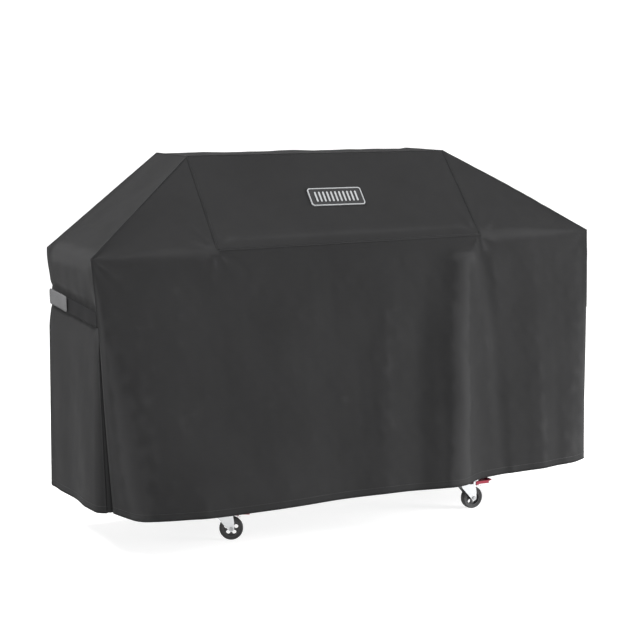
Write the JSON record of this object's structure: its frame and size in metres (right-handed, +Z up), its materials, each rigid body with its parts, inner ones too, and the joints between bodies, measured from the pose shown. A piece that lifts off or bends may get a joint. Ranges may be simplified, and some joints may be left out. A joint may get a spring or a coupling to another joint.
{
  "type": "grill cover",
  "caption": "Fitted cloth cover with side straps over a wide cart grill on braked swivel casters; the cover lifts off.",
  "frame": {"origin": "on the floor under the centre of the whole part's box", "axes": "+Z up, +X to the right of someone facing the front, the front faces -Y"},
  "size_m": [1.8994, 0.74, 1.274],
  "materials": {
    "cover_cloth": "woven polyester, matt with a slight sheen",
    "binding_tape": "folded binding tape",
    "webbing": "ribbed webbing",
    "hook_tab": "brushed hook-and-loop tape",
    "loop_tape": "hook-and-loop pad",
    "badge_black": "moulded rubbery patch",
    "badge_silver": "silver print",
    "lid_enamel": "gloss enamel",
    "handle_steel": "brushed",
    "cart_paint": "satin powder coat",
    "table_steel": "satin grey paint",
    "zinc": "zinc plated",
    "hub_plastic": "moulded",
    "tyre_rubber": "soft tread",
    "pedal_red": "moulded"
  },
  "bodies": {
    "grill": {"grill_lid": "lid_enamel", "lid_handle": "handle_steel", "cookbox": "cart_paint", "left_table": "table_steel", "right_table": "table_steel", "cart_cabinet": "cart_paint", "cart_base": "cart_paint", "caster_plates": "zinc", "kingpins": "zinc", "caster_bolts": "zinc"},
    "cover": {"top_panel": "cover_cloth", "hood_front_panel": "cover_cloth", "hood_back_panel": "cover_cloth", "left_slope_panel": "cover_cloth", "right_slope_panel": "cover_cloth", "left_gusset": "cover_cloth", "right_gusset": "cover_cloth", "front_panel": "cover_cloth", "back_panel": "cover_cloth", "left_side_panel": "cover_cloth", "right_side_panel": "cover_cloth", "left_skirt": "cover_cloth", "right_skirt": "cover_cloth", "left_front_pleat": "cover_cloth", "right_front_pleat": "cover_cloth", "hood_binding": "binding_tape", "hip_binding": "binding_tape", "front_hem": "binding_tape", "back_hem": "binding_tape", "left_hem": "binding_tape", "right_hem": "binding_tape", "left_loop_pad": "loop_tape", "right_loop_pad": "loop_tape", "badge_plate": "badge_black", "badge_border": "badge_silver", "badge_bars": "badge_silver"},
    "left_strap": {"left_strap": "webbing", "left_strap_tab": "hook_tab"},
    "right_strap": {"right_strap": "webbing", "right_strap_tab": "hook_tab"},
    "front_left_caster": {"front_left_fork": "zinc", "front_left_axle": "zinc"},
    "front_left_wheel": {"front_left_hub": "hub_plastic", "front_left_tyre": "tyre_rubber"},
    "front_left_brake": {"front_left_pedal": "pedal_red", "front_left_pedal_spring": "zinc"},
    "front_right_caster": {"front_right_fork": "zinc", "front_right_axle": "zinc"},
    "front_right_wheel": {"front_right_hub": "hub_plastic", "front_right_tyre": "tyre_rubber"},
    "front_right_brake": {"front_right_pedal": "pedal_red", "front_right_pedal_spring": "zinc"},
    "rear_left_caster": {"rear_left_fork": "zinc", "rear_left_axle": "zinc"},
    "rear_left_wheel": {"rear_left_hub": "hub_plastic", "rear_left_tyre": "tyre_rubber"},
    "rear_right_caster": {"rear_right_fork": "zinc", "rear_right_axle": "zinc"},
    "rear_right_wheel": {"rear_right_hub": "hub_plastic", "rear_right_tyre": "tyre_rubber"}
  },
  "joints": [
    {"name": "cover_lift", "type": "slide", "parent": "grill", "child": "cover", "axis": [0, 0, 1], "range_m": [0, 1.2]},
    {"name": "left_strap_peel", "type": "hinge", "parent": "cover", "child": "left_strap", "pos_m": [-0.9419, -0.172, 0.7737], "axis": [0, 0, 1], "range_deg": [0, 100]},
    {"name": "right_strap_peel", "type": "hinge", "parent": "cover", "child": "right_strap", "pos_m": [0.9419, -0.152, 0.775], "axis": [0, 0, -1], "range_deg": [0, 100]},
    {"name": "front_left_swivel", "type": "hinge", "parent": "grill", "child": "front_left_caster", "pos_m": [-0.494, -0.132, 0.09], "axis": [0, 0, 1], "continuous": true},
    {"name": "front_left_roll", "type": "hinge", "parent": "front_left_caster", "child": "front_left_wheel", "pos_m": [-0.46862, -0.14383, 0.04], "axis": [0.4226, 0.9063, 0], "continuous": true},
    {"name": "front_left_brake", "type": "hinge", "parent": "front_left_caster", "child": "front_left_brake", "pos_m": [-0.46681, -0.14468, 0.0956], "axis": [0.4226, 0.9063, 0], "range_deg": [0, 12]},
    {"name": "front_right_swivel", "type": "hinge", "parent": "grill", "child": "front_right_caster", "pos_m": [0.454, -0.132, 0.09], "axis": [0, 0, 1], "continuous": true},
    {"name": "front_right_roll", "type": "hinge", "parent": "front_right_caster", "child": "front_right_wheel", "pos_m": [0.482, -0.132, 0.04], "axis": [0, 1, 0], "continuous": true},
    {"name": "front_right_brake", "type": "hinge", "parent": "front_right_caster", "child": "front_right_brake", "pos_m": [0.484, -0.132, 0.0956], "axis": [0, 1, 0], "range_deg": [0, 12]},
    {"name": "rear_left_swivel", "type": "hinge", "parent": "grill", "child": "rear_left_caster", "pos_m": [-0.494, 0.23, 0.09], "axis": [0, 0, 1], "continuous": true},
    {"name": "rear_left_roll", "type": "hinge", "parent": "rear_left_caster", "child": "rear_left_wheel", "pos_m": [-0.46737, 0.23865, 0.04], "axis": [-0.309, 0.9511, 0], "continuous": true},
    {"name": "rear_right_swivel", "type": "hinge", "parent": "grill", "child": "rear_right_caster", "pos_m": [0.454, 0.23, 0.09], "axis": [0, 0, 1], "continuous": true},
    {"name": "rear_right_roll", "type": "hinge", "parent": "rear_right_caster", "child": "rear_right_wheel", "pos_m": [0.48139, 0.22418, 0.04], "axis": [0.2079, 0.9781, 0], "continuous": true}
  ]
}
